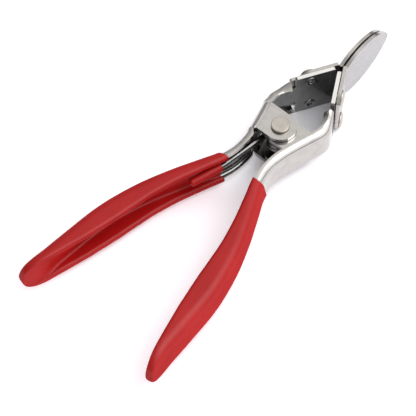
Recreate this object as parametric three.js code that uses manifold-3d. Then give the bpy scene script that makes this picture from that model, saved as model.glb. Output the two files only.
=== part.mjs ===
// Sprung spreading pliers: two pressed steel channel levers nest at one rivet without crossing,
// so squeezing the dipped handles together swings the two tongue blades apart.
//
// Frame, in millimetres: +Y runs forward to the blade tips, +X to the right, +Z up along the
// pivot. The origin is the centre of the pivot rivet's lower flat face. Pieces are drawn about
// the levers' mid plane, and one group lifts them all. Each lever piece is drawn once, for the
// right-hand side, and mirrored for the left.

import * as THREE from 'three';
import { mergeVertices } from 'three/addons/utils/BufferGeometryUtils.js';
import Module from 'manifold-3d';

const wasm = await Module();
wasm.setup();

// ---------------------------------------------------------------- driving dimensions
const SHEET = 1.8; // lever sheet thickness
const CHANNEL_HALF = 9; // half height of the lever channel, over its flanges
const BEND_STEPS = 3;

// Outside of the right lever's spine in plan, from the handle's end to the jaw's root.
const SPINE = new THREE.SplineCurve([
  [39, -134], [37.5, -122], [36.2, -104], [34.3, -84], [29.9, -66], [23.8, -50], [16.7, -35],
  [12.8, -27], [10.9, -19], [11.4, -11.5], [13.0, -4.5], [15.3, 3.5], [16.8, 8.5], [17.5, 12],
  [17.3, 14.8], [16.1, 17.3], [14.4, 20], [12.35, 23.33],
].map(([x, y]) => new THREE.Vector2(x, y)));

// Depth of the channel's flanges, measured square to the spine, against Y.
const FLANGE_DEPTH = [
  [-134, 1.8], [-130, 2.2], [-125, 3.3], [-120, 4.4], [-115, 5.5], [-110, 6.5], [-98, 8.6],
  [-88, 9.8], [-80, 10.1], [-70, 9.4], [-50, 7], [-35, 5.3], [-27, 4.5], [-18, 4.1], [-8, 4.6],
  [8, 4.7], [18, 4.5], [30, 4],
];

// Half height of the spine's outer wall against Y: behind the jaw it sweeps up to the jaw plate's
// height, while the flanges' free edges stay level.
const WALL_HALF = [[-200, 9], [15.5, 9], [18, 9.5], [20, 10.8], [22.2, 12.3], [30, 12.3]];
const BEND_RADIUS = [[-200, 4], [15.5, 4], [20, 2], [30, 1.6]];

const LOBE_RADIUS = 7.6; // pivot lobes at the ends of the head flanges
const HEAD_REAR = -LOBE_RADIUS; // straight rear and front edges of the head flanges
const HEAD_FRONT = LOBE_RADIUS;
const JOGGLE_GAP = 0.3; // clearance of the left lever's lobes over the right lever's flanges
const JOGGLE_START = 3.4;
const JOGGLE_END = 5;

const JAW_ANGLE = THREE.MathUtils.degToRad(30); // jaw plates to the tool's axis
const JAW_REAR = new THREE.Vector2(10.2, 23.45); // rear corner of the jaw's inner face
const JAW_LENGTH = 19.7;
const JAW_HALF = 12.65; // half height of the jaw plates
const JAW_CORNER = 1.2;
const SLOT = 2.4; // relief slot between the channel's end and the jaw plate
const NECK_HALF = 4.6; // half height of the steel left between the relief slots

const BLADE_SHEET = 1.6;
const BLADE_SEAT_GAP = 0.25; // under the blade's base, on the jaw
const BLADE_HALF = 12.2; // half height of the blade's base at its bend
// Rear end of each base, along its jaw: the left one's tail covers the jaw's relief slot.
const BLADE_TAIL = { left: -2.1, right: 2.4 };
const BLADE_BEND = 4.5; // bend radius on the face towards the other blade
const TONGUE_ROOT = 9.4; // half widths of the tongue: at its root and at its widest
const TONGUE_HALF = 11.75;
const TONGUE_WIDEST = 12; // distance from the root to the widest place
const TONGUE_LENGTH = 34.4;
const TONGUE_GAP = 0.95; // between the two tongues
const TONGUE_LEAN = THREE.MathUtils.degToRad(3.8); // both tongues lean towards the left lever

const RIVET_ALONG = 7.2; // blade rivets, from the jaw's rear corner
const RIVET_UP = 8.6;
const RIVET_SHANK = 1.95;
const RIVET_HEAD = 3.8;
const RIVET_CLEARANCE = 0.3;

const PIVOT_SHANK = 3;
const PIVOT_HEAD = 4.2;
const PIVOT_HEAD_THICK = 1.35;
const PIVOT_HALF = CHANNEL_HALF + JOGGLE_GAP + SHEET + 0.25 + PIVOT_HEAD_THICK;

const WIRE = 2.6; // torsion spring
const COIL_RADIUS = 4.7;
const COIL_PITCH = 2.8;
const COIL_TURNS = 2; // whole turns, besides the part turn between the legs
const LEG_ANGLE = THREE.MathUtils.degToRad(6); // legs to the tool's axis where they leave the coil
const RIGHT_LEG = [[14.6, -43.5, 0.5], [7.6, -24.5, -1.4], [5.7, -12, -2.9]]; // tip to coil
const LEFT_LEG = [[-6, -11, 3.9], [-7.3, -20.5, 3.9], [-9.1, -31.4, 3.8], [-13.2, -43.4, 2.4]];

const COAT = 0.8; // dipped coating over the lever's surface
const COAT_GAP = 0.2; // left between the coating and the steel
const NOSE_START = -117; // the handle's rounded end
const NOSE_LENGTH = 14;
const NOSE_REACH = 0.98; // share of the nose that is drawn, up to its blunt tip
const NOSE_POWER = 2.6; // 2 is an ellipse, and more is blunter
// Front edge of each coating: its Y at mid height, and how it slants with Z.
const DIP_LINE = { left: { y: -28.4, slant: 0.1 }, right: { y: -25.2, slant: -0.29 } };

// ---------------------------------------------------------------- solids
function closedMesh(vertices, triangles) {
  const corner = (i) => new THREE.Vector3().fromArray(vertices, 3 * i);
  let volume = 0;
  for (let i = 0; i < triangles.length; i += 3) {
    const [a, b, c] = [0, 1, 2].map((k) => corner(triangles[i + k]));
    volume += a.dot(b.cross(c));
  }
  const outward = volume > 0 ? triangles : triangles.slice().reverse();
  return new wasm.Manifold(new wasm.Mesh({
    numProp: 3,
    vertProperties: Float32Array.from(vertices),
    triVerts: Uint32Array.from(outward),
  }));
}

function solidOf(geometry, matrix = new THREE.Matrix4()) {
  const bare = geometry.clone().applyMatrix4(matrix);
  bare.deleteAttribute('normal');
  bare.deleteAttribute('uv');
  const merged = mergeVertices(bare, 1e-4);
  const index = Array.from(merged.index.array);
  const kept = [];
  for (let i = 0; i < index.length; i += 3) {
    const [a, b, c] = index.slice(i, i + 3);
    if (a !== b && b !== c && c !== a) kept.push(a, b, c);
  }
  return closedMesh(Array.from(merged.attributes.position.array), kept);
}

function geometryOf(solid, mirror = false) {
  const { vertProperties, triVerts } = solid.getMesh();
  const positions = Array.from(vertProperties);
  const triangles = Array.from(triVerts);
  if (mirror) {
    for (let i = 0; i < positions.length; i += 3) positions[i] *= -1;
    triangles.reverse();
  }
  const geometry = new THREE.BufferGeometry();
  geometry.setAttribute('position', new THREE.Float32BufferAttribute(positions, 3));
  geometry.setIndex(triangles);
  geometry.computeVertexNormals();
  return geometry;
}

// A closed solid skinned over convex sections; every section has the same number of points.
function skin(sections) {
  const vertices = sections.flat(2);
  const points = sections[0].length;
  const last = (sections.length - 1) * points;
  const triangles = [];
  for (let s = 0; s + 1 < sections.length; s++) {
    for (let i = 0; i < points; i++) {
      const a = s * points + i;
      const b = s * points + ((i + 1) % points);
      triangles.push(a, b, a + points, b, b + points, a + points);
    }
  }
  for (let i = 1; i + 1 < points; i++) {
    triangles.push(0, i + 1, i, last, last + i, last + i + 1);
  }
  return closedMesh(vertices, triangles);
}

function tableAt(table, y) {
  const next = table.findIndex(([start]) => start >= y);
  const [[y0, v0], [y1, v1]] = [table[next - 1], table[next]];
  return v0 + (v1 - v0) * (y - y0) / (y1 - y0);
}

// The spine's outside point at a given Y, with the unit normal into the channel.
function spineAt(y) {
  let low = 0;
  let high = 1;
  for (let i = 0; i < 40; i++) {
    const middle = (low + high) / 2;
    if (SPINE.getPoint(middle).y < y) low = middle;
    else high = middle;
  }
  const tangent = SPINE.getTangent(low);
  return { point: SPINE.getPoint(low), inward: new THREE.Vector2(-tangent.y, tangent.x) };
}

function placed({ point, inward }, [n, z]) {
  return [point.x + inward.x * n, point.y + inward.y * n, z];
}

// ---------------------------------------------------------------- the lever's channel
function noseShare(y, offset) {
  const beyond = Math.max(0, NOSE_START - y) / (NOSE_LENGTH + offset);
  return (1 - beyond ** NOSE_POWER) ** (1 / NOSE_POWER);
}

// A box section with its two spine corners rounded, as (inward, up) points. It is half high at
// the spine and edgeHalf high at its open edge.
function roundedSection(n0, n1, half, edgeHalf, radius) {
  const section = [[n1, -edgeHalf]];
  for (const [up, from] of [[-1, -90], [1, 180]]) {
    for (let i = 0; i <= BEND_STEPS; i++) {
      const angle = THREE.MathUtils.degToRad(from - 90 * i / BEND_STEPS);
      section.push([
        n0 + radius + radius * Math.cos(angle),
        up * (half - radius) + radius * Math.sin(angle),
      ]);
    }
  }
  section.push([n1, edgeHalf]);
  return section;
}

// The channel's outside grown by offset, or its inside when offset is -SHEET or less.
function channelBlock(offset, frontY, steps) {
  const inside = offset < 0;
  const rearY = NOSE_START - NOSE_REACH * (NOSE_LENGTH + offset);
  const sections = [];
  for (const y of [...steps.filter((step) => step > rearY && step < frontY), frontY, rearY].sort(
    (a, b) => a - b,
  )) {
    const share = noseShare(y, offset);
    const half = share * (tableAt(WALL_HALF, y) + offset);
    const edgeHalf = share * (CHANNEL_HALF + offset);
    const depth = tableAt(FLANGE_DEPTH, y);
    const radius = Math.min(Math.max(tableAt(BEND_RADIUS, y) + offset, 0.4), 0.85 * half);
    const n1 = inside ? depth + 6 : depth + offset;
    const corner = Math.min(radius, 0.9 * (n1 + offset));
    sections.push(
      roundedSection(-offset, n1, half, edgeHalf, corner).map((p) => placed(spineAt(y), p)),
    );
  }
  return skin(sections);
}

const HANDLE_STEPS = [-130, -129, -127.5, -125, -122, -117, -108, -98, -88, -78, -68, -58, -48,
  -40, -33, -28];
const HEAD_STEPS = [-24, -20.5, -17, -13.5, -9, -4, 1.5, 6, 9, 12, 14, 16, 18, 20];

function channel(offset, frontY) {
  const steps = [...HANDLE_STEPS, ...HEAD_STEPS];
  return channelBlock(offset, frontY, steps).subtract(
    channelBlock(-SHEET - offset, frontY + 3, steps),
  );
}

// ---------------------------------------------------------------- the lever's head
// Straight-line frame of the jaw: local X forward along it, Y up, Z out of its outer face.
function jawMatrix(along, up, out) {
  const forward = new THREE.Vector3(-Math.sin(JAW_ANGLE), Math.cos(JAW_ANGLE), 0);
  const outward = new THREE.Vector3(Math.cos(JAW_ANGLE), Math.sin(JAW_ANGLE), 0);
  const start = new THREE.Vector3(JAW_REAR.x, JAW_REAR.y, up)
    .addScaledVector(forward, along)
    .addScaledVector(outward, out);
  return new THREE.Matrix4()
    .makeBasis(forward, new THREE.Vector3(0, 0, 1), outward)
    .setPosition(start);
}

function jawPlate() {
  const outline = new THREE.Shape();
  const corners = [[0, -1], [JAW_LENGTH, -1], [JAW_LENGTH, 1], [0, 1]];
  corners.forEach(([along, up], i) => {
    const towards = Math.PI * (1 + i / 2);
    outline.absarc(
      along + (along > 0 ? -JAW_CORNER : JAW_CORNER),
      up * (JAW_HALF - JAW_CORNER),
      JAW_CORNER, towards, towards + Math.PI / 2, false,
    );
  });
  const plate = new THREE.ExtrudeGeometry(outline, {
    depth: SHEET, bevelEnabled: false, curveSegments: 3,
  });
  return solidOf(plate, jawMatrix(0, 0, 0));
}

function neck() {
  const bar = new THREE.BoxGeometry(SLOT + 1.6, 2 * NECK_HALF, SHEET);
  return solidOf(bar, jawMatrix(-SLOT / 2, 0, SHEET / 2));
}

const FLANGE_STEPS = [HEAD_REAR, -4, 0, 4, HEAD_FRONT];

// Flat head flange with its round pivot lobe; it starts at distance startN from the spine.
function headFlange(lowZ, startN) {
  const outline = new THREE.Shape(FLANGE_STEPS.map((y) => {
    const { point, inward } = spineAt(y);
    return new THREE.Vector2(point.x + inward.x * startN, y);
  }));
  outline.lineTo(0, HEAD_FRONT);
  outline.absarc(0, 0, LOBE_RADIUS, Math.PI / 2, 1.5 * Math.PI, false);
  outline.lineTo(0, HEAD_REAR);
  const flange = new THREE.ExtrudeGeometry(outline, {
    depth: SHEET, bevelEnabled: false, curveSegments: 14,
  });
  return solidOf(flange, new THREE.Matrix4().makeTranslation(0, 0, lowZ));
}

// The short ramp that lifts the joggled lobes over the other lever's flanges.
function joggleRamp(lift) {
  const low = CHANNEL_HALF - SHEET;
  const section = [
    [JOGGLE_START, low], [JOGGLE_START, low + SHEET - 0.05],
    [JOGGLE_END, low + SHEET + lift], [JOGGLE_END, low + lift],
  ];
  return skin(FLANGE_STEPS.map((y) => {
    const { point, inward } = spineAt(y);
    return section.map(([n, z]) => [point.x + inward.x * n, y, z]);
  }));
}

function upsideDown(solid) {
  const { vertProperties, triVerts } = solid.getMesh();
  const vertices = Array.from(vertProperties, (value, i) => (i % 3 === 2 ? -value : value));
  return closedMesh(vertices, Array.from(triVerts));
}

function cylinderCut(radius, length, matrix) {
  return solidOf(new THREE.CylinderGeometry(radius, radius, length, 20), matrix);
}

function rivetHole(up, out) {
  const matrix = jawMatrix(RIVET_ALONG, up, out).multiply(
    new THREE.Matrix4().makeRotationX(Math.PI / 2),
  );
  return cylinderCut(RIVET_SHANK + RIVET_CLEARANCE, 3 * SHEET, matrix);
}

// A whole lever, drawn on the right; a joggled one has its lobes lifted clear of a plain one's.
function lever(joggled) {
  const lift = joggled ? SHEET + JOGGLE_GAP : 0;
  const channelFront = JAW_REAR.y + (SHEET * Math.sin(JAW_ANGLE) - SLOT * Math.cos(JAW_ANGLE));
  let body = channel(0, channelFront).add(neck()).add(jawPlate());
  const lowZ = CHANNEL_HALF - SHEET + lift;
  const flange = headFlange(lowZ, joggled ? JOGGLE_END - 0.3 : JOGGLE_START + 0.2);
  body = body.add(flange).add(upsideDown(flange));
  if (joggled) {
    const ramp = joggleRamp(lift);
    body = body.add(ramp).add(upsideDown(ramp));
  }
  const upright = new THREE.Matrix4().makeRotationX(Math.PI / 2);
  body = body.subtract(cylinderCut(PIVOT_SHANK + RIVET_CLEARANCE, 4 * CHANNEL_HALF, upright));
  for (const up of [RIVET_UP, -RIVET_UP]) body = body.subtract(rivetHole(up, SHEET / 2));
  return body;
}

// ---------------------------------------------------------------- blades
function tongueHalf(distance) {
  if (distance < TONGUE_WIDEST) {
    const share = Math.sin(Math.PI / 2 * distance / TONGUE_WIDEST);
    return TONGUE_ROOT + (TONGUE_HALF - TONGUE_ROOT) * share;
  }
  const beyond = (distance - TONGUE_WIDEST) / (TONGUE_LENGTH - TONGUE_WIDEST);
  return TONGUE_HALF * Math.max(0.015, 1 - beyond * beyond) ** 0.68;
}

// One blade, drawn on the right: a base plate over the jaw, bent into a tongue. The stations run
// along the face that looks at the other blade; lean turns the tongue towards that other blade,
// and tail is where the base starts.
function blade(lean, tail) {
  const seat = new THREE.Vector2(Math.cos(JAW_ANGLE), Math.sin(JAW_ANGLE))
    .multiplyScalar(SHEET + BLADE_SEAT_GAP).add(JAW_REAR);
  const baseHeading = Math.PI / 2 + JAW_ANGLE;
  const tongueHeading = Math.PI / 2 + lean;
  const headingVector = (angle) => new THREE.Vector2(Math.cos(angle), Math.sin(angle));
  const base = headingVector(baseHeading);
  const tongue = headingVector(tongueHeading);
  // The tongue's inner face passes X = half the gap at the jaws' meeting point.
  const meeting = new THREE.Vector2(TONGUE_GAP / 2, JAW_REAR.y + JAW_REAR.x / Math.tan(JAW_ANGLE));
  const reach = meeting.clone().sub(seat).cross(tongue) / base.cross(tongue);
  const corner = seat.clone().addScaledVector(base, reach);
  const turn = baseHeading - tongueHeading;
  const setback = BLADE_BEND * Math.tan(turn / 2);

  const stations = [];
  const straight = (start, heading, distances, half) => distances.forEach((distance) => {
    const point = start.clone().addScaledVector(headingVector(heading), distance);
    stations.push({ point, heading, half: half(distance) });
  });
  const baseHalf = [[tail, 8.4], [tail + 0.7, 9.6], [4, 10], [5.6, 11.9], [8, BLADE_HALF]];
  for (const [distance, half] of baseHalf) straight(seat, baseHeading, [distance], () => half);
  straight(seat, baseHeading, [reach - setback - 0.4], () => BLADE_HALF);
  const centre = corner.clone().addScaledVector(base, -setback).addScaledVector(
    headingVector(baseHeading - Math.PI / 2), BLADE_BEND,
  );
  const bendSteps = 4;
  for (let i = 0; i <= bendSteps; i++) {
    const heading = baseHeading - turn * i / bendSteps;
    const point = centre.clone().addScaledVector(headingVector(heading + Math.PI / 2), BLADE_BEND);
    const half = BLADE_HALF + (TONGUE_ROOT - BLADE_HALF) * Math.sin(Math.PI / 2 * i / bendSteps);
    stations.push({ point, heading, half });
  }
  straight(corner, tongueHeading, [3, 6, 9, 12, 16, 20, 23, 26, 29, 31.3, 33, 34, TONGUE_LENGTH],
    tongueHalf);

  let body = skin(stations.map(({ point, heading, half }) => {
    const outward = headingVector(heading - Math.PI / 2).multiplyScalar(BLADE_SHEET).add(point);
    return [
      [point.x, point.y, -half], [point.x, point.y, half],
      [outward.x, outward.y, half], [outward.x, outward.y, -half],
    ];
  }));
  for (const up of [RIVET_UP, -RIVET_UP]) body = body.subtract(rivetHole(up, 2 * SHEET));
  return body;
}

// ---------------------------------------------------------------- rivets and spring
// Profile (radius, distance along the axis) with 0 at the jaw's inner face.
function bladeRivet() {
  const seat = SHEET + BLADE_SEAT_GAP + BLADE_SHEET + 0.15;
  const profile = [
    [0, -0.6], [2.3, -0.6], [2.75, -0.35], [2.75, -0.12], [RIVET_SHANK, -0.12],
    [RIVET_SHANK, seat], [RIVET_HEAD, seat], [RIVET_HEAD, seat + 0.35], [3.3, seat + 1],
    [2.1, seat + 1.45], [0, seat + 1.65],
  ].map(([radius, along]) => new THREE.Vector2(radius, along));
  return solidOf(new THREE.LatheGeometry(profile, 16));
}

function pivotRivet() {
  const under = PIVOT_HALF - PIVOT_HEAD_THICK;
  const rim = PIVOT_HEAD - 0.3;
  const half = [
    [PIVOT_SHANK, under], [PIVOT_HEAD, under], [PIVOT_HEAD, PIVOT_HALF - 0.3], [rim, PIVOT_HALF],
    [0, PIVOT_HALF],
  ];
  const lower = half.map(([radius, z]) => [radius, -z]).reverse();
  const profile = [...lower, ...half].map(([radius, z]) => new THREE.Vector2(radius, z));
  const upright = new THREE.Matrix4().makeRotationX(Math.PI / 2);
  return solidOf(new THREE.LatheGeometry(profile, 24), upright);
}

// Spring wire: up the right leg, round the coil, and out along the left leg, which lies nearer
// its lever's upper flange.
function torsionSpring() {
  const turned = Math.PI - 2 * LEG_ANGLE + 2 * Math.PI * COIL_TURNS;
  const height = COIL_PITCH * turned / (2 * Math.PI);
  const coilSteps = 40;
  const path = RIGHT_LEG.map((point) => new THREE.Vector3(...point));
  for (let i = 0; i <= coilSteps; i++) {
    const angle = LEG_ANGLE + turned * i / coilSteps;
    path.push(new THREE.Vector3(
      COIL_RADIUS * Math.cos(angle),
      COIL_RADIUS * Math.sin(angle),
      height * (i / coilSteps - 0.5),
    ));
  }
  path.push(...LEFT_LEG.map((point) => new THREE.Vector3(...point)));
  const section = new THREE.Shape();
  section.absarc(0, 0, WIRE / 2, 0, 2 * Math.PI, false);
  const wire = new THREE.ExtrudeGeometry(section, {
    steps: 72, curveSegments: 4, bevelEnabled: false,
    extrudePath: new THREE.CatmullRomCurve3(path),
  });
  return solidOf(wire);
}

// ---------------------------------------------------------------- dipped grips
function grip({ y, slant }) {
  const frontY = -21;
  const steps = HANDLE_STEPS.filter((step) => step < frontY);
  const outside = channelBlock(COAT, frontY, steps);
  const hollow = channelBlock(-SHEET - COAT, frontY + 3, steps);
  const steel = channel(COAT_GAP, frontY + 3);
  const cut = new THREE.BoxGeometry(60, 40, 60);
  cut.translate(0, 20, 0);
  const matrix = new THREE.Matrix4().makeRotationX(-Math.atan(slant)).setPosition(0, y, 0);
  return outside.subtract(hollow).subtract(steel).subtract(solidOf(cut, matrix));
}

// ---------------------------------------------------------------- assembly
const STEEL = { color: 0xd6d5d2, metalness: 0.95, roughness: 0.28 };
const BLADE_STEEL = { color: 0xcfcecb, metalness: 0.95, roughness: 0.38 };
const RIVET_STEEL = { color: 0xc9c1b2, metalness: 0.9, roughness: 0.5 };
const SPRING_STEEL = { color: 0xa9a6a0, metalness: 0.95, roughness: 0.3 };
const RED_VINYL = { color: 0xc4161c, metalness: 0, roughness: 0.3 };

const pliers = new THREE.Group();
pliers.position.z = PIVOT_HALF;

function addPiece(name, geometry, finish) {
  const mesh = new THREE.Mesh(geometry, new THREE.MeshStandardMaterial(finish));
  mesh.name = name;
  pliers.add(mesh);
  return mesh;
}

addPiece('right_lever', geometryOf(lever(false)), STEEL);
addPiece('left_lever', geometryOf(lever(true), true), STEEL);
addPiece('right_blade', geometryOf(blade(TONGUE_LEAN, BLADE_TAIL.right)), BLADE_STEEL);
addPiece('left_blade', geometryOf(blade(-TONGUE_LEAN, BLADE_TAIL.left), true), BLADE_STEEL);
addPiece('right_grip', geometryOf(grip(DIP_LINE.right)), RED_VINYL);
addPiece('left_grip', geometryOf(grip(DIP_LINE.left), true), RED_VINYL);
addPiece('pivot_rivet', geometryOf(pivotRivet()), RIVET_STEEL);
addPiece('torsion_spring', geometryOf(torsionSpring()), SPRING_STEEL);

const bladeRivetGeometry = geometryOf(bladeRivet());
for (const [side, sign] of [['right', 1], ['left', -1]]) {
  for (const [place, up] of [['upper', RIVET_UP], ['lower', -RIVET_UP]]) {
    const rivet = addPiece(`${side}_blade_rivet_${place}`, bladeRivetGeometry, RIVET_STEEL);
    rivet.position.setFromMatrixPosition(jawMatrix(RIVET_ALONG, up, 0));
    rivet.position.x *= sign;
    rivet.rotation.z = sign * (JAW_ANGLE - Math.PI / 2);
  }
}

export default pliers;
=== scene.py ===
import math

import bmesh
import bpy
import numpy as np
from mathutils import Matrix, Vector


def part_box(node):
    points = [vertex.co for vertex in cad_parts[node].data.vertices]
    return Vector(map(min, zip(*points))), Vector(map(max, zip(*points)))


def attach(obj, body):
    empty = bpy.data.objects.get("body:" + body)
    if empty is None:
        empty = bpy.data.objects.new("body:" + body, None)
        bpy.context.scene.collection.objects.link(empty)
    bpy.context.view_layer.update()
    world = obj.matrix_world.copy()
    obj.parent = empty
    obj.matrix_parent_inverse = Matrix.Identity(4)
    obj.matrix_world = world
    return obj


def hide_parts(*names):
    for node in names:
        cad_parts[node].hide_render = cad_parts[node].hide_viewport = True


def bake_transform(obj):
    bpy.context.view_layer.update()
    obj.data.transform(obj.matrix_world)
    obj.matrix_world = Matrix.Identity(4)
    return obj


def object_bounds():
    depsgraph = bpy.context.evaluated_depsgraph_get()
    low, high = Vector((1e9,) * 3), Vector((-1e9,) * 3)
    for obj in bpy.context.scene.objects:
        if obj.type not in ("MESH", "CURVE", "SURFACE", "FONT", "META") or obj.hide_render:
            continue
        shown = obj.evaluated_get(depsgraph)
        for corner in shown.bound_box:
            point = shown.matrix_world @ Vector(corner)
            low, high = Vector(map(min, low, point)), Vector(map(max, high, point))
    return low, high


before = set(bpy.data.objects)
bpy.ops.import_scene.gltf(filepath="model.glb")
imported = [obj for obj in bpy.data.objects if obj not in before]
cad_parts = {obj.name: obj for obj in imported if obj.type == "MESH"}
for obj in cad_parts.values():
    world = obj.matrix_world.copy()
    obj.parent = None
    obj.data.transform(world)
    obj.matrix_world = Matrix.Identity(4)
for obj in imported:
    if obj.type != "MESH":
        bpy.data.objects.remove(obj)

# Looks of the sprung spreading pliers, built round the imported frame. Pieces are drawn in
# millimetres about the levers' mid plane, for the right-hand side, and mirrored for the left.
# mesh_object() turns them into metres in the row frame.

cad_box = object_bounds()
MM = 0.001
rivet_low, rivet_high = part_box("pivot_rivet")
MID_Z = (rivet_low.z + rivet_high.z) / 2 / MM  # the levers' mid plane

# ---------------------------------------------------------------- dimensions
SHEET = 1.8
CHANNEL_HALF = 9.0
NECK_HALF = 4.6
SLOT, LOWER_SLOT = 2.4, 0.9
LOBE = 7.6  # radius of the pivot lobes, and half length of the head flanges
LOBE_STEPS = 18
JOGGLE_LIFT = 2.1
JOGGLE_FROM, JOGGLE_TO = 3.1, 4.7  # where the joggle ramps up, measured from the spine
JAW_ANGLE = math.radians(30)
JAW_REAR = np.array([10.2, 23.45])
JAW_LENGTH = 19.7
JAW_HALF = 12.65
JAW_CORNER = 1.2
JAW_FORWARD = np.array([-math.sin(JAW_ANGLE), math.cos(JAW_ANGLE)])
JAW_OUT = np.array([math.cos(JAW_ANGLE), math.sin(JAW_ANGLE), 0.0])

BLADE_SHEET = 1.6
BLADE_SEAT_GAP = 0.4
BLADE_HALF = 12.2
BASE_HALF = [(-2.2, 9.8), (4, 10), (5.6, 11.9), (8, BLADE_HALF)]
BLADE_TAIL = {"left": -2.1, "right": 2.4}  # the left base's tail covers the jaw's relief slot
TAIL_CORNER = 1.3
BLADE_BEND = 4.5
TONGUE_ROOT = 9.4
TONGUE_HALF = 11.75
TONGUE_WIDEST = 12.0
TONGUE_LENGTH = 34.0
TONGUE_GAP = 0.95
TONGUE_LEAN = math.radians(3.8)
TONGUE_FIRST = 2.6  # the tongue's first row, from the corner where the two flats would meet

RIVET_ALONG, RIVET_UP = 7.2, 8.6
RIVET_HOLE = 2.0
RIVET_SHANK = 1.93
RIVET_HEAD = 3.78
PIVOT_HALF = (rivet_high.z - rivet_low.z) / 2 / MM
PIVOT_SHANK = 3.0
PIVOT_HEAD = 4.2
PIVOT_HEAD_THICK = 1.35
PIVOT_CLEARANCE = 0.12

WIRE = 2.6
COIL_RADIUS = 4.7
COIL_PITCH = 2.8
COIL_TURNS = 2
COIL_STEPS = 150
LEG_ANGLE = math.radians(6)
RIGHT_LEG = [(14.6, -43.5, 0.5), (7.6, -24.5, -1.4), (5.7, -12, -2.9)]  # tip to coil
LEFT_LEG = [(-6, -11, 3.9), (-7.3, -20.5, 3.9), (-9.1, -31.4, 3.8), (-13.2, -43.4, 2.4)]

COAT = 0.8
COAT_GAP = 0.18  # between the coating and the steel
LIP = [(0.22, 0.76), (0.06, 0.64), (0, 0.48), (0, 0.33)]  # rounds the coating off at its dip line
NOSE_START, NOSE_LENGTH, NOSE_POWER = -117.0, 13.6, 2.6
DIP_LINE = {"left": (-28.4, 0.1), "right": (-25.2, -0.29)}  # its y, and slant per mm of height
FILL_FROM, FILL_TO = -113, -128  # the trough fills with coating towards the nose
FLUSH_FROM, FLUSH_TO = -122, -130.5  # the tip is solid, level with the rim
RIB = [(-9.0, -30.6, 3.6), (-11.2, -37.4, 3.1), (-13.9, -45.2, 2.2)]  # over the left spring leg
RIB_RADIUS = 2.1

SPINE_POINTS = [
    (39, -134), (37.5, -122), (36.2, -104), (34.3, -84), (29.9, -66), (23.8, -50), (16.7, -35),
    (12.8, -27), (10.9, -19), (11.4, -11.5), (13.0, -4.5), (15.3, 3.5), (16.8, 8.5), (17.5, 12),
    (17.3, 14.8), (16.1, 17.3), (14.4, 20), (12.35, 23.33),
]
FLANGE_DEPTH = [
    (-134, 1.8), (-130, 2.2), (-125, 3.3), (-120, 4.4), (-115, 5.5), (-110, 6.5), (-98, 8.6),
    (-88, 9.8), (-80, 10.1), (-70, 9.4), (-50, 7), (-35, 5.3), (-27, 4.5), (-18, 4.1), (-8, 4.6),
    (8, 4.7), (18, 4.5), (30, 4),
]
WALL_HALF = [(-200, 9), (15.5, 9), (18, 9.5), (20, 10.8), (22.2, 12.3), (30, 12.3)]
BEND_RADIUS = [(-200, 4), (15.5, 4), (20, 2), (30, 1.6)]
LEAST_BEND = 2.05
LEAST_HALF = 1.2  # half height of the channel at its closed end
EASE = 1.2  # a table's corners are eased over this much to each side


# ---------------------------------------------------------------- curves and tables
def spline(points, steps=40):
    """A uniform Catmull-Rom curve through points."""
    p = np.array(points, float)
    out = []
    for i in range(len(p) - 1):
        a, b, c, d = p[max(i - 1, 0)], p[i], p[i + 1], p[min(i + 2, len(p) - 1)]
        va, vb = (c - a) / 2, (d - b) / 2
        for t in np.arange(steps) / steps:
            out.append((2 * b - 2 * c + va + vb) * t**3 + (3 * c - 3 * b - 2 * va - vb) * t**2
                       + va * t + b)
    out.append(p[-1])
    return np.array(out)


SPINE = spline(SPINE_POINTS)


def table(rows, at):
    """A table's value, with its corners eased."""
    ys, values = zip(*rows)
    near = at + np.linspace(-EASE, EASE, 7)
    return float(np.mean(np.interp(near, ys, values)))


def spine_at(y):
    """The spine's outer point at y, and the unit normal into the channel."""
    x = np.interp(y, SPINE[:, 1], SPINE[:, 0])
    step = 0.4
    slope = (np.interp(y + step, SPINE[:, 1], SPINE[:, 0])
             - np.interp(y - step, SPINE[:, 1], SPINE[:, 0])) / (2 * step)
    inward = np.array([-1.0, slope]) / math.hypot(1, slope)
    return np.array([x, y]), inward


def nose_share(y, grown=0.0):
    """The share of its full size that the rounded end has at y, grown outwards."""
    beyond = max(0.0, NOSE_START - y) / (NOSE_LENGTH + grown)
    return max(0.0, 1 - beyond**NOSE_POWER) ** (1 / NOSE_POWER)


def smoothstep(a, b, x):
    t = min(max((x - a) / (b - a), 0.0), 1.0)
    return t * t * (3 - 2 * t)


def heading(angle):
    return np.array([math.cos(angle), math.sin(angle)])


def cross(a, b):
    return a[0] * b[1] - a[1] * b[0]


# ---------------------------------------------------------------- meshes
def grid_faces(rows, columns, closed=False):
    """Quads between rows of vertices. Closed joins each row's end to its start."""
    faces = []
    for i in range(rows - 1):
        for j in range(columns if closed else columns - 1):
            k = (j + 1) % columns
            faces.append((i * columns + j, i * columns + k, (i + 1) * columns + k,
                          (i + 1) * columns + j))
    return faces


def mesh_object(name, vertices, faces, mirror=False):
    """An object from points in millimetres about the mid plane."""
    points = np.array(vertices, float)
    if mirror:
        points[:, 0] *= -1
    points[:, 2] += MID_Z
    mesh = bpy.data.meshes.new(name)
    mesh.from_pydata((points * MM).tolist(), [], [tuple(f) for f in faces])
    obj = bpy.data.objects.new(name, mesh)
    bpy.context.scene.collection.objects.link(obj)
    with_bmesh(obj, lambda bm: bmesh.ops.recalc_face_normals(bm, faces=bm.faces))
    return obj


def with_bmesh(obj, work):
    bm = bmesh.new()
    bm.from_mesh(obj.data)
    work(bm)
    bm.to_mesh(obj.data)
    bm.free()


def apply_modifiers(obj):
    bpy.context.view_layer.update()
    evaluated = obj.evaluated_get(bpy.context.evaluated_depsgraph_get())
    mesh = bpy.data.meshes.new_from_object(evaluated)
    obj.modifiers.clear()
    old = obj.data
    obj.data = mesh
    bpy.data.meshes.remove(old)
    mesh.name = obj.name


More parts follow.
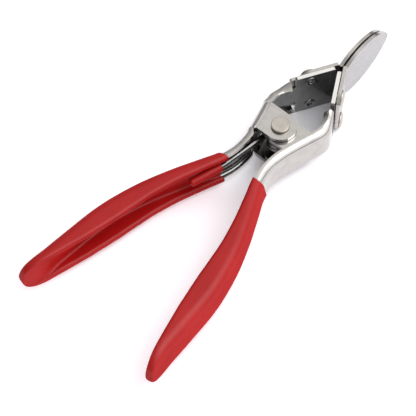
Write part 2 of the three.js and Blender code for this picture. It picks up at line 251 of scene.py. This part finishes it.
def thicken(obj, thickness, away):
    """Gives a sheet its thickness, behind the faces that look along away.

    Material slot 0 is the drawn face, 1 the new face and 2 the cut edge.
    """
    facing = sum(p.normal.dot(Vector(away)) * p.area for p in obj.data.polygons
                 if abs(p.normal.dot(Vector(away))) > 0.6)
    solid = obj.modifiers.new("thickness", "SOLIDIFY")
    solid.thickness = thickness * MM
    solid.offset = -1.0 if facing > 0 else 1.0
    solid.material_offset = 1
    solid.material_offset_rim = 2
    for _ in range(3):
        obj.data.materials.append(None)
    apply_modifiers(obj)
    with_bmesh(obj, lambda bm: bmesh.ops.recalc_face_normals(bm, faces=bm.faces))


def soften_edges(obj, width, angle=40):
    bevel = obj.modifiers.new("edges", "BEVEL")
    bevel.width = width * MM
    bevel.segments = 2
    bevel.limit_method = "ANGLE"
    bevel.angle_limit = math.radians(angle)
    bevel.use_clamp_overlap = True
    apply_modifiers(obj)


def cut(obj, cutters):
    for cutter in cutters:
        boolean = obj.modifiers.new("hole", "BOOLEAN")
        boolean.operation = "DIFFERENCE"
        boolean.solver = "EXACT"
        boolean.object = cutter
    apply_modifiers(obj)
    for cutter in cutters:
        bpy.data.objects.remove(cutter)


def rings_about(origin, axis, rings, sides):
    """Points of the (radius, distance) rings round axis, and the axis as a unit vector."""
    along = np.array(axis, float)
    along /= np.linalg.norm(along)
    across = np.cross(along, (0, 0, 1)) if abs(along[2]) < 0.9 else np.array([1.0, 0, 0])
    across /= np.linalg.norm(across)
    up = np.cross(along, across)
    points = []
    for radius, distance in rings:
        for i in range(sides):
            a = 2 * math.pi * i / sides
            points.append(np.array(origin) + along * distance
                          + radius * (across * math.cos(a) + up * math.sin(a)))
    return points, along


def rod(centre, axis, radius, length, mirror):
    """A short round cutter."""
    sides = 40
    ends = [(radius, -length / 2), (radius, length / 2)]
    vertices, _ = rings_about(centre, axis, ends, sides)
    faces = grid_faces(2, sides, closed=True)
    faces += [tuple(range(sides)), tuple(range(2 * sides - 1, sides - 1, -1))]
    return mesh_object("cutter", vertices, faces, mirror)


def lathe(name, profile, origin, axis, sides=64, mirror=False):
    """Turns (radius, distance) pairs about axis. The profile starts and ends on the axis."""
    rings = [(r, d) for r, d in profile if r > 1e-6]
    vertices, along = rings_about(origin, axis, rings, sides)
    faces = grid_faces(len(rings), sides, closed=True)
    for pole, ring in ((profile[0], 0), (profile[-1], len(rings) - 1)):
        vertices.append(np.array(origin) + along * pole[1])
        tip = len(vertices) - 1
        for i in range(sides):
            faces.append((ring * sides + i, ring * sides + (i + 1) % sides, tip))
    return mesh_object(name, vertices, faces, mirror)


def fillet(profile, radius, steps=4):
    """Rounds the inner corners of a (radius, distance) profile."""
    out = [profile[0]]
    for a, b, c in zip(profile, profile[1:], profile[2:]):
        a, b, c = (np.array(p, float) for p in (a, b, c))
        before, after = np.linalg.norm(b - a), np.linalg.norm(c - b)
        r = min(radius, 0.45 * before, 0.45 * after)
        p, q = b + (a - b) / before * r, b + (c - b) / after * r
        for i in range(steps + 1):
            t = i / steps
            out.append(tuple((1 - t) ** 2 * p + 2 * t * (1 - t) * b + t * t * q))
    out.append(profile[-1])
    return out


def tube(path, radius, sides, cap=0.35):
    """Vertices and faces of a round wire along path, with rounded ends."""
    path = np.array(path, float)
    tangents = np.gradient(path, axis=0)
    tangents /= np.linalg.norm(tangents, axis=1)[:, None]
    normal = np.cross(tangents[0], (0, 0, 1.0))
    rows = []
    first = [(0, -radius * cap * (1 - e), e) for e in [0.25, 0.6, 0.85]]
    last = [(len(path) - 1, radius * cap * (1 - e), e) for e in [0.85, 0.6, 0.25]]
    stations = first + [(i, 0.0, 1.0) for i in range(len(path))] + last
    for i, slide, share in stations:
        t = tangents[i]
        normal = normal - t * normal.dot(t)
        normal /= np.linalg.norm(normal)
        binormal = np.cross(t, normal)
        ring = []
        for k in range(sides):
            a = 2 * math.pi * k / sides
            ring.append(path[i] + t * slide
                        + radius * share * (normal * math.cos(a) + binormal * math.sin(a)))
        rows.append(ring)
    vertices = [p for ring in rows for p in ring]
    faces = grid_faces(len(rows), sides, closed=True)
    for ring, centre in ((0, path[0] - tangents[0] * radius * cap),
                         (len(rows) - 1, path[-1] + tangents[-1] * radius * cap)):
        vertices.append(centre)
        for k in range(sides):
            faces.append((ring * sides + k, ring * sides + (k + 1) % sides, len(vertices) - 1))
    return vertices, faces


def new_piece(obj, node, body, slot, *materials, sharp=35):
    """Shades a finished mesh, gives it its finish, and makes it stand for its CAD node."""
    for polygon in obj.data.polygons:
        polygon.use_smooth = True
    obj.data.set_sharp_from_angle(angle=math.radians(sharp))
    weighted = obj.modifiers.new("normals", "WEIGHTED_NORMAL")
    weighted.keep_sharp = True
    apply_modifiers(obj)
    for index, material in enumerate(materials):
        if index < len(obj.data.materials):
            obj.data.materials[index] = material
        else:
            obj.data.materials.append(material)
    if body:  # a blended piece has none
        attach(obj, body)
    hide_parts(node)
    return obj


# ---------------------------------------------------------------- materials
class Nodes:
    """A small helper that adds and joins the nodes of a material or a world."""

    def __init__(self, owner, place):
        owner.use_nodes = True
        self.owner = owner
        self.tree = owner.node_tree
        self.place = self.add("ShaderNodeTexCoord").outputs[place]

    def add(self, kind, **values):
        node = self.tree.nodes.new(kind)
        for key, value in values.items():
            if key in node.inputs:
                node.inputs[key].default_value = value
            else:
                setattr(node, key, value)
        return node

    def link(self, source, target):
        self.tree.links.new(source, target)

    def stretched(self, scale):
        mapping = self.add("ShaderNodeMapping")
        mapping.inputs["Scale"].default_value = scale
        self.link(self.place, mapping.inputs["Vector"])
        return mapping.outputs["Vector"]

    def noise(self, scale, detail=3.0, rough=0.5, place=None):
        node = self.add("ShaderNodeTexNoise", Scale=scale, Detail=detail, Roughness=rough)
        self.link(place or self.place, node.inputs["Vector"])
        return node.outputs["Fac"]

    def ramp(self, factor, stops):
        node = self.add("ShaderNodeValToRGB")
        elements = node.color_ramp.elements
        while len(elements) < len(stops):
            elements.new(0.5)
        for element, (position, colour) in zip(elements, stops):
            element.position = position
            element.color = (*colour, 1)
        self.link(factor, node.inputs["Fac"])
        return node.outputs["Color"]

    def span(self, factor, low, high, start=0.3, end=0.7):
        node = self.add("ShaderNodeMapRange")
        for key, value in (("From Min", start), ("From Max", end), ("To Min", low),
                           ("To Max", high)):
            node.inputs[key].default_value = value
        self.link(factor, node.inputs["Value"])
        return node.outputs["Result"]

    def combine(self, a, b, how="ADD"):
        node = self.add("ShaderNodeMath", operation=how)
        self.link(a, node.inputs[0])
        self.link(b, node.inputs[1])
        return node.outputs["Value"]

    def bump(self, height, strength, distance):
        node = self.add("ShaderNodeBump", Strength=strength, Distance=distance)
        self.link(height, node.inputs["Height"])
        self.link(node.outputs["Normal"], self.shader.inputs["Normal"])


class Finish(Nodes):
    """The nodes of one material, with its Principled shader to hand."""

    def __init__(self, name):
        super().__init__(bpy.data.materials.new(name), "Object")
        self.shader = self.tree.nodes["Principled BSDF"]


def steel(name, dark, light, rough, grain=(2500, 2500, 2500)):
    """Plated steel: faint mottling, a fine grain along one direction, and a slight waviness."""
    wave, spots = 0.00004, 0.25
    n = Finish(name)
    n.shader.inputs["Metallic"].default_value = 1.0
    mottle = n.noise(260, 5, 0.6)
    n.link(n.ramp(mottle, [(0.3, dark), (0.62, light)]), n.shader.inputs["Base Color"])
    smear = n.noise(900, 3, 0.6)
    fine = n.noise(1.0, 2, 0.5, n.stretched(grain))
    mixed = n.combine(n.span(smear, 0, spots * 0.5), n.span(fine, 0, spots * 0.5))
    n.link(n.span(mixed, rough * 0.8, rough * 1.35, 0, spots), n.shader.inputs["Roughness"])
    height = n.combine(n.noise(120, 2, 0.4), n.span(fine, 0, 0.12))
    n.bump(height, 0.35, wave)
    return n.owner


PLATED = steel("plated_steel", (0.45, 0.43, 0.405), (0.51, 0.488, 0.46), 0.18)
# A darker copy of the plating: painted shade for the levers' inner faces, the blades' new faces,
# the rivet tails and the cut edges facing the handles.
SHADED_PLATING = steel("plated_painted_shade", (0.21, 0.21, 0.205), (0.27, 0.27, 0.265), 0.22)
# A much lighter copy of the plating: a painted highlight on the levers' cut edges.
EDGE_HIGHLIGHT = steel("cut_edge_painted_highlight", (0.74, 0.72, 0.69), (0.80, 0.78, 0.75), 0.16)
BLADE = steel("blade_steel", (0.385, 0.38, 0.372), (0.435, 0.43, 0.422), 0.28,
              grain=(500, 500, 6000))
RIVET = steel("rivet_steel", (0.47, 0.43, 0.38), (0.56, 0.52, 0.46), 0.34)
# A darkened copy of steel for the wire: painted shade from the channel round the spring.
SPRING_PAINTED_SHADE = steel("spring_steel", (0.15, 0.148, 0.145), (0.22, 0.218, 0.214), 0.2)


def dipped_red():
    """Dipped vinyl: deep red with a slow colour drift under a thin, softly rippled gloss."""
    n = Finish("red_coating")
    drift = n.noise(55, 3, 0.55)
    n.link(n.ramp(drift, [(0.3, (0.38, 0.006, 0.006)), (0.7, (0.44, 0.009, 0.009))]),
           n.shader.inputs["Base Color"])
    n.shader.inputs["Specular IOR Level"].default_value = 0
    n.bump(n.noise(60, 2, 0.4), 0.12, 0.0001)
    gloss = n.add("ShaderNodeBsdfGlossy")
    n.link(n.span(n.noise(420, 4, 0.6), 0.3, 0.38), gloss.inputs["Roughness"])
    skin = n.add("ShaderNodeMixShader", Fac=0.032)
    n.link(n.shader.outputs["BSDF"], skin.inputs[1])
    n.link(gloss.outputs["BSDF"], skin.inputs[2])
    n.link(skin.outputs["Shader"], n.tree.nodes["Material Output"].inputs["Surface"])
    return n.owner


RED = dipped_red()

SIDES = {"right": False, "left": True}


# ---------------------------------------------------------------- levers
HEAD_STATIONS = [LOBE * math.sin(math.radians(a)) for a in np.arange(-90, 90.1, 7.5)]
ARC_STEPS = 7
UPPER_COUNT = 3 + ARC_STEPS + 1  # points on a section from its free edge to the flat wall
WALL_SHARES = (1, 0.5, 0, -0.5, -1)
NOTCH_DEPTH, NOTCH_WIDTH = 1.5, 1.6  # relief of the joggled flange just outside the head


def lever_section(y, joggled):
    """The sheet's outer face across the channel at y, from upper to lower free edge."""
    share = nose_share(y)
    half = max(share * table(WALL_HALF, y), LEAST_HALF)
    edge = max(share * CHANNEL_HALF, LEAST_HALF)
    depth = table(FLANGE_DEPTH, y)
    outside_head = abs(y) - LOBE
    if joggled and outside_head > 0.01:
        depth -= NOTCH_DEPTH * math.exp(-((outside_head - 0.3) / NOTCH_WIDTH) ** 2)
    radius = min(max(table(BEND_RADIUS, y), LEAST_BEND), 0.8 * half, 0.85 * depth)
    neck = min(NECK_HALF, 0.9 * (half - radius))
    lifting = smoothstep(0.6, 0.0, outside_head) if joggled else 0.0

    upper = []
    for i in range(3):
        n = depth + (radius - depth) * i / 3
        upper.append((n, edge + (half - edge) * (depth - n) / max(depth - radius, 0.01)))
    for i in range(ARC_STEPS + 1):
        a = math.radians(90 + 90 * i / ARC_STEPS)
        upper.append((radius + radius * math.cos(a), half - radius + radius * math.sin(a)))
    upper = [(n, z + lifting * JOGGLE_LIFT * smoothstep(JOGGLE_FROM, JOGGLE_TO, n))
             for n, z in upper]
    wall = [(0.0, neck * k) for k in WALL_SHARES]
    return upper + wall + [(n, -z) for n, z in reversed(upper)]


def jaw_rows():
    """Rows of points across the jaw plate's outer face, each with as many as a lever section."""
    corner = [JAW_CORNER * (1 - math.cos(math.radians(a))) for a in (0, 22.5, 45, 67.5, 90)]
    alongs = corner + [4, RIVET_ALONG, 10, 13, 16] + [JAW_LENGTH - c for c in reversed(corner)]
    rows = []
    for s in alongs:
        inset = JAW_CORNER - min(s, JAW_LENGTH - s)
        trim = JAW_CORNER - math.sqrt(max(0, JAW_CORNER**2 - inset**2)) if inset > 0 else 0
        half = JAW_HALF - trim
        ups = [half + (NECK_HALF - half) * i / UPPER_COUNT for i in range(UPPER_COUNT)]
        ups += [NECK_HALF * k for k in WALL_SHARES]
        ups += [-u for u in reversed(ups[:UPPER_COUNT])]
        base = JAW_REAR + JAW_OUT[:2] * SHEET + JAW_FORWARD * s
        rows.append([(*base, z) for z in ups])
    return rows


def lever_sheet(joggled):
    """The lever's outer face: the channel, its neck, the jaw plate and the lobes."""
    slot_rear = JAW_REAR[1] + SHEET * math.sin(JAW_ANGLE) - SLOT * math.cos(JAW_ANGLE)
    ys = [-119.5, -119.2, -118.6, -117.6]  # the handle's end, its length, then the head
    ys += list(np.arange(-116, -29, 3.0)) + list(np.arange(-28, -9.5, 1.5))
    ys += [-8.9, -8.3, -7.8] + HEAD_STATIONS + [7.8, 8.3, 9.0]
    ys += list(np.linspace(10, slot_rear, 14))
    rows = []
    for y in ys:
        point, inward = spine_at(y)
        inward[1] *= smoothstep(LOBE, LOBE + 4.5, abs(y))
        closer = JAW_FORWARD * (SLOT - LOWER_SLOT) * smoothstep(17, slot_rear, y)
        rows.append([(*(point + inward * n + closer * (z < -NECK_HALF)), z)
                     for n, z in lever_section(y, joggled)])
    rows += jaw_rows()

    columns = len(rows[0])
    vertices = [p for row in rows for p in row]
    slot_row = len(ys) - 1
    faces = []
    for i, j in ((i, j) for i in range(len(rows) - 1) for j in range(columns - 1)):
        on_neck = UPPER_COUNT <= j < UPPER_COUNT + len(WALL_SHARES) - 1
        if i != slot_row or on_neck:  # the relief slots are left open
            a = i * columns + j
            faces.append((a, a + 1, a + columns + 1, a + columns))

    # Head flanges: each head station's free edge runs on to the lobe's rim.
    first = ys.index(HEAD_STATIONS[0])
    for side, edge_column in ((1, 0), (-1, columns - 1)):
        strips = []
        for k, y in enumerate(HEAD_STATIONS):
            index = (first + k) * columns + edge_column
            rim = vertices[index]
            depth = table(FLANGE_DEPTH, y)
            end = -math.sqrt(max(0.0, LOBE**2 - y * y))
            strip = [index]
            for m in range(1, LOBE_STEPS + 1):
                x = rim[0] + (end - rim[0]) * m / LOBE_STEPS
                lift = 0.0
                if joggled:
                    lift = JOGGLE_LIFT * smoothstep(JOGGLE_FROM, JOGGLE_TO, depth + rim[0] - x)
                vertices.append((x, y, side * (CHANNEL_HALF + lift)))
                strip.append(len(vertices) - 1)
            strips.append(strip)
        for a, b in zip(strips, strips[1:]):
            for m in range(LOBE_STEPS):
                faces.append((a[m], a[m + 1], b[m + 1], b[m]))
    return vertices, faces


def jaw_point(along, up):
    """A point on the jaw plate's inner face."""
    return np.array([*(JAW_REAR + JAW_FORWARD * along), up])


def rivet_holes(length, mirror):
    return [rod(jaw_point(RIVET_ALONG, up), JAW_OUT, RIVET_HOLE, length, mirror)
            for up in (RIVET_UP, -RIVET_UP)]


def lever(side):
    mirror = SIDES[side]
    vertices, faces = lever_sheet(joggled=mirror)
    obj = mesh_object(f"{side}_lever_sheet", vertices, faces, mirror)
    thicken(obj, SHEET, (-1 if mirror else 1, 0, 0))
    soften_edges(obj, 0.32)
    for polygon in obj.data.polygons:  # cut edges that face the handles get painted shade instead of the painted highlight
        if polygon.material_index == 2 and polygon.normal.y < -0.4:
            polygon.material_index = 1
    pivot_hole = rod((0, 0, 0), (0, 0, 1), PIVOT_SHANK + PIVOT_CLEARANCE, 40, mirror)
    cut(obj, rivet_holes(8, mirror) + [pivot_hole])
    # Inner faces get painted shade; cut edges get a painted highlight.
    return new_piece(obj, f"{side}_lever", f"{side}_side", "plated_steel", PLATED, SHADED_PLATING, EDGE_HIGHLIGHT)


# ---------------------------------------------------------------- blades
def tongue_half(distance):
    """Half the tongue's height at a distance from its root."""
    if distance < TONGUE_WIDEST:
        return TONGUE_ROOT + (TONGUE_HALF - TONGUE_ROOT) * math.sin(
            math.pi / 2 * distance / TONGUE_WIDEST)
    beyond = (distance - TONGUE_WIDEST) / (TONGUE_LENGTH - TONGUE_WIDEST)
    return TONGUE_HALF * max(0.0, 1 - beyond * beyond) ** 0.62


def blade(side):
    """A bent sheet: a base riveted on the jaw plate, a bend, and a tongue along the tool."""
    mirror = SIDES[side]
    lean = -TONGUE_LEAN if mirror else TONGUE_LEAN
    base_heading, tongue_heading = math.pi / 2 + JAW_ANGLE, math.pi / 2 + lean
    base, tongue = heading(base_heading), heading(tongue_heading)
    seat = JAW_REAR + JAW_OUT[:2] * (SHEET + BLADE_SEAT_GAP)
    meeting = np.array([TONGUE_GAP / 2, JAW_REAR[1] + JAW_REAR[0] / math.tan(JAW_ANGLE)])
    reach = cross(meeting - seat, tongue) / cross(base, tongue)
    corner = seat + base * reach
    turn = base_heading - tongue_heading
    setback = BLADE_BEND * math.tan(turn / 2)

    stations = []  # point on the face that looks at the other blade, and half height
    tail = BLADE_TAIL[side]
    for a in range(0, 91, 15):
        d = tail + TAIL_CORNER * (1 - math.cos(math.radians(a)))
        half = table(BASE_HALF, d) - TAIL_CORNER * (1 - math.sin(math.radians(a)))
        stations.append((seat + base * d, half))
    for d in np.linspace(tail + TAIL_CORNER + 0.8, reach - setback - 0.3, 16):
        stations.append((seat + base * d, table(BASE_HALF, d)))
    centre = corner - base * setback + heading(base_heading - math.pi / 2) * BLADE_BEND
    bend_steps = 10
    for i in range(bend_steps + 1):
        angle = base_heading - turn * i / bend_steps
        half = BLADE_HALF + (TONGUE_ROOT - BLADE_HALF) * math.sin(math.pi / 2 * i / bend_steps)
        stations.append((centre + heading(angle + math.pi / 2) * BLADE_BEND, half))
    for a in np.linspace(0, math.pi / 2, 30)[1:]:
        d = TONGUE_FIRST + (TONGUE_LENGTH - TONGUE_FIRST) * math.sin(a)
        stations.append((corner + tongue * d, max(tongue_half(d), 0.25)))

    columns = 13
    vertices = [(*point, half * k) for point, half in stations
                for k in np.linspace(-1, 1, columns)]
    faces = grid_faces(len(stations), columns)
    obj = mesh_object(f"{side}_blade_sheet", vertices, faces, mirror)
    thicken(obj, BLADE_SHEET, (1 if mirror else -1, 0, 0))
    soften_edges(obj, 0.3, angle=30)
    cut(obj, rivet_holes(14, mirror))
    # The new face gets painted shade; the cut edges take the lighter plated steel as a painted
    # highlight.
    return new_piece(obj, f"{side}_blade", f"{side}_side", "blade_steel", BLADE, SHADED_PLATING, PLATED)


# ---------------------------------------------------------------- rivets and spring
def blade_rivet(side, place, up):
    """A semi-tubular rivet: domed head outside, rolled collar round a hole inside."""
    mirror = SIDES[side]
    seat = SHEET + BLADE_SEAT_GAP + BLADE_SHEET + 0.06
    dome = [(RIVET_HEAD * math.cos(a), seat + 0.3 + 1.2 * math.sin(a))
            for a in np.linspace(0.05, math.pi / 2, 12)]
    collar = [(1.95 + 0.8 * math.cos(a), -0.02 - 0.55 * max(0, math.sin(a)))
              for a in np.linspace(0, math.pi, 12)]
    profile = [(0, 0.9), (0.7, 0.9), (1.12, 0.6)] + collar[::-1]
    profile += [(RIVET_SHANK, 0.0), (RIVET_SHANK, seat), (3.6, seat), (3.8, seat + 0.18)]
    profile += dome[:-1] + [(0, seat + 1.5)]
    spot = jaw_point(RIVET_ALONG, up)
    obj = lathe(f"{side}_rivet_{place}", profile, spot, JAW_OUT, mirror=mirror)
    for _ in range(2):
        obj.data.materials.append(None)
    tail_end = spot.dot(JAW_OUT) + 0.3
    unmirror = np.array([-1, 1, 1]) if mirror else np.array([1, 1, 1])
    for polygon in obj.data.polygons:  # the rolled tail, inside the jaw, gets painted shade and is darker than the head
        if np.dot(np.array(polygon.center) / MM * unmirror, JAW_OUT) < tail_end:
            polygon.material_index = 1
    return new_piece(obj, f"{side}_blade_rivet_{place}", f"{side}_side", "rivet_steel",
                     RIVET, SHADED_PLATING)


def pivot_rivet():
    under = PIVOT_HALF - PIVOT_HEAD_THICK
    half = [(PIVOT_SHANK, under), (PIVOT_HEAD, under), (PIVOT_HEAD, PIVOT_HALF), (0, PIVOT_HALF)]
    profile = fillet([(r, -z) for r, z in reversed(half)] + half, 0.4)
    obj = lathe("pivot_rivet_body", profile, (0, 0, 0), (0, 0, 1), sides=72)
    return new_piece(obj, "pivot_rivet", "right_side", "rivet_steel", RIVET)


def torsion_spring():
    """A coil round the pivot rivet, with a leg into each channel."""
    turned = math.pi - 2 * LEG_ANGLE + 2 * math.pi * COIL_TURNS
    height = COIL_PITCH * turned / (2 * math.pi)
    coil = []
    for i in range(COIL_STEPS + 1):
        angle = LEG_ANGLE + turned * i / COIL_STEPS
        coil.append((COIL_RADIUS * math.cos(angle), COIL_RADIUS * math.sin(angle),
                     height * (i / COIL_STEPS - 0.5)))
    right = spline(RIGHT_LEG + coil[0:3:2], 10)[:-11]
    left = spline(coil[-3::2] + LEFT_LEG, 10)[11:]
    path = np.vstack([right, coil, left])
    keep = [path[0]]
    for p in path[1:]:
        if np.linalg.norm(p - keep[-1]) > 0.25:
            keep.append(p)
    vertices, faces = tube(keep, WIRE / 2, sides=18)
    obj = mesh_object("spring_wire", vertices, faces)
    new_piece(obj, "torsion_spring", None, "spring_steel", SPRING_PAINTED_SHADE, sharp=60)
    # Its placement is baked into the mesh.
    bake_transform(obj)


# ---------------------------------------------------------------- dipped grips
def coat_loop(y, coat):
    """A closed loop of (inward, up) round the lever's section at y, coat thick all round."""
    share = nose_share(y, coat)
    high = max(share * (CHANNEL_HALF + coat), 0.05)
    depth = table(FLANGE_DEPTH, y)
    filled = smoothstep(FILL_FROM, FILL_TO, y)
    radius = min(4.0, 0.8 * high, 0.8 * depth)
    outer = min(radius + coat, high)
    cap = min((SHEET / 2 + coat) * (1 - 0.55 * filled), 0.3 * high, 0.3 * (depth + coat))
    cap_n = depth + coat - cap
    trough = high - 2 * cap
    floor = SHEET + coat + (cap_n - 0.1 - SHEET - coat) * filled
    inner = min(1.5, 0.6 * trough, cap_n - floor)
    sweep = min(1.5 + 5 * filled, 0.85 * trough)

    upper = [(-coat, (high - outer) * k) for k in (0, 0.35, 0.7)]
    for i in range(9):
        a = math.radians(180 - 90 * i / 8)
        upper.append((radius + outer * math.cos(a), high - outer + outer * math.sin(a)))
    upper += [(radius + (cap_n - radius) * k, high) for k in (0.25, 0.5, 0.75)]
    rim = len(upper) + 4
    for i in range(9):
        a = math.radians(90 - 180 * i / 8)
        upper.append((cap_n + cap * math.cos(a), high - cap + cap * math.sin(a)))
    upper += [(cap_n + (floor + inner - cap_n) * k, trough) for k in (0.3, 0.65)]
    for i in range(6):
        a = math.radians(90 + 90 * i / 5)
        upper.append((floor + inner + inner * math.cos(a), trough - sweep + sweep * math.sin(a)))
    upper += [(floor, (trough - sweep) * k) for k in (0.6, 0.3, 0)]
    flush = smoothstep(FLUSH_FROM, FLUSH_TO, y)
    upper[rim:] = [(n + (depth + coat - n) * flush, z) for n, z in upper[rim:]]
    return upper + [(n, -z) for n, z in reversed(upper[1:-1])]


def coated_leg():
    """The coating over the spring leg's end, inside the left grip."""
    vertices, faces = tube(spline(RIB, 12), RIB_RADIUS, sides=24, cap=0.6)
    return mesh_object("coated_leg", vertices, faces)


def join(obj, other):
    """Adds other's mesh to obj's."""
    both = bmesh.new()
    both.from_mesh(obj.data)
    both.from_mesh(other.data)
    both.to_mesh(obj.data)
    both.free()
    bpy.data.objects.remove(other)


def grip(side):
    """A dipped coat: its outside from the nose to the dip line, then its inside back again."""
    front, slant = DIP_LINE[side]

    def rows_of(coat, ys):
        for y in ys:
            level = smoothstep(front - 22, front, y)  # how far the row follows the dip plane
            row = []
            for n, z in coat_loop(y, coat):
                lean = spine_at(y)[1][1] * n
                point, inward = spine_at(y + level * (slant * z - lean))
                row.append((*(point + inward * n), z))
            yield row

    def stations(coat):
        end = NOSE_START - NOSE_LENGTH - coat
        nose = [NOSE_START + (end - NOSE_START) * math.sin(math.radians(a))
                for a in (85, 80, 74, 68, 60, 52, 44, 36, 28, 20, 10, 0)]
        return nose + list(np.linspace(-114, front - 2.5, 34))

    rows = list(rows_of(COAT, stations(COAT) + [front - 1.2, front - 0.5]))
    for back, coat in LIP:
        rows += rows_of(coat, [front - back])
    rows += rows_of(COAT_GAP, [front - 0.1] + stations(COAT_GAP)[::-1])
    columns = len(rows[0])
    vertices = [p for row in rows for p in row]
    faces = grid_faces(len(rows), columns, closed=True)
    for first in (0, (len(rows) - 1) * columns):
        vertices.append(np.mean(vertices[first:first + columns], axis=0))
        faces += [(first + j, first + (j + 1) % columns, len(vertices) - 1)
                  for j in range(columns)]
    obj = mesh_object(f"{side}_grip_coat", vertices, faces, SIDES[side])
    if side == "left":
        join(obj, coated_leg())
    return new_piece(obj, f"{side}_grip", f"{side}_side", "red_coating", RED, sharp=70)


# ---------------------------------------------------------------- assembly
for side in SIDES:
    lever(side)
    blade(side)
    grip(side)
    blade_rivet(side, "upper", RIVET_UP)
    blade_rivet(side, "lower", -RIVET_UP)
pivot_rivet()
torsion_spring()


# ---------------------------------------------------------------- floor, light and camera
def build_floor():
    bpy.ops.mesh.primitive_plane_add(size=6, location=(0, 0, cad_box[0][2] - 0.0003))
    floor = bpy.context.object
    floor.name = "floor"
    n = Finish("floor_paper_painted_glow")
    n.link(n.ramp(n.noise(3, 2, 0.5), [(0.3, (0.87, 0.86, 0.90)), (0.7, (0.89, 0.88, 0.92))]),
           n.shader.inputs["Base Color"])
    n.shader.inputs["Roughness"].default_value = 0.9
    # The floor glows faintly, painted light that washes out the object's cast shadows; the glow
    # fades with ambient occlusion, which paints shade on the floor under and near the object.
    n.shader.inputs["Emission Color"].default_value = (0.98, 0.97, 1.0, 1)
    occlusion = n.add("ShaderNodeAmbientOcclusion", Distance=0.04, samples=8)
    n.link(n.span(occlusion.outputs["AO"], 0.0, 0.42, 0.2, 0.46),
           n.shader.inputs["Emission Strength"])
    floor.data.materials.append(n.owner)


def build_world():
    """Soft studio surround: brighter to the right, dimmer on the viewer's side."""
    world = bpy.data.worlds.new("studio")
    bpy.context.scene.world = world
    n = Nodes(world, "Generated")
    split = n.add("ShaderNodeSeparateXYZ")
    n.link(n.place, split.inputs["Vector"])
    sideways = n.span(split.outputs["X"], 0.5, 1.8, -1, 1)
    facing = n.span(split.outputs["Y"], 0.35, 1.0, -0.7, 0.3)
    rising = n.span(split.outputs["Z"], 0.12, 1.0, 0.1, 0.26)
    background = n.tree.nodes["Background"]
    background.inputs["Color"].default_value = (1, 1, 1, 1)
    level = n.combine(n.combine(sideways, facing, "MULTIPLY"), rising, "MULTIPLY")
    n.link(level, background.inputs["Strength"])


def softbox(name, location, target, size, power):
    light = bpy.data.lights.new(name, "AREA")
    light.shape = "RECTANGLE"
    light.size, light.size_y = size
    light.energy = power
    obj = bpy.data.objects.new(name, light)
    bpy.context.scene.collection.objects.link(obj)
    obj.location = location
    obj.rotation_euler = (Vector(target) - Vector(location)).to_track_quat("-Z", "Y").to_euler()


CAMERA_ANGLES = (40.82, 56.88, 0.22)  # azimuth, elevation and roll, in degrees
CAMERA_TARGET = (-0.34, -49.29, MID_Z)
CAMERA_DISTANCE = 1.1276  # metres
CAMERA_LENS = 218.1288  # millimetres, on a 36 mm sensor


def build_camera():
    azimuth, elevation, roll = (math.radians(a) for a in CAMERA_ANGLES)
    target = Vector(CAMERA_TARGET) * MM
    back = Vector((math.sin(azimuth) * math.cos(elevation),
                   -math.cos(azimuth) * math.cos(elevation), math.sin(elevation)))
    level = Vector((math.cos(azimuth), math.sin(azimuth), 0))
    upright = back.cross(level)
    right = level * math.cos(roll) + upright * math.sin(roll)
    up = upright * math.cos(roll) - level * math.sin(roll)
    camera_data = bpy.data.cameras.new("camera")
    camera_data.sensor_width = 36
    camera_data.lens = CAMERA_LENS
    camera = bpy.data.objects.new("camera", camera_data)
    bpy.context.scene.collection.objects.link(camera)
    place = Matrix((right, up, back)).transposed().to_4x4()
    place.translation = target + back * CAMERA_DISTANCE
    camera.matrix_world = place
    camera_data.clip_end = 20
    bpy.context.scene.camera = camera


build_floor()
build_world()
softbox("key", (0.5, 0.35, 1.1), (0, -0.04, 0), (0.9, 0.9), 5)
softbox("top_glow", (-0.42, 0.52, 1.0), (0, 0, 0), (0.5, 0.5), 0.15)
build_camera()
bpy.context.scene.view_settings.view_transform = "Standard"
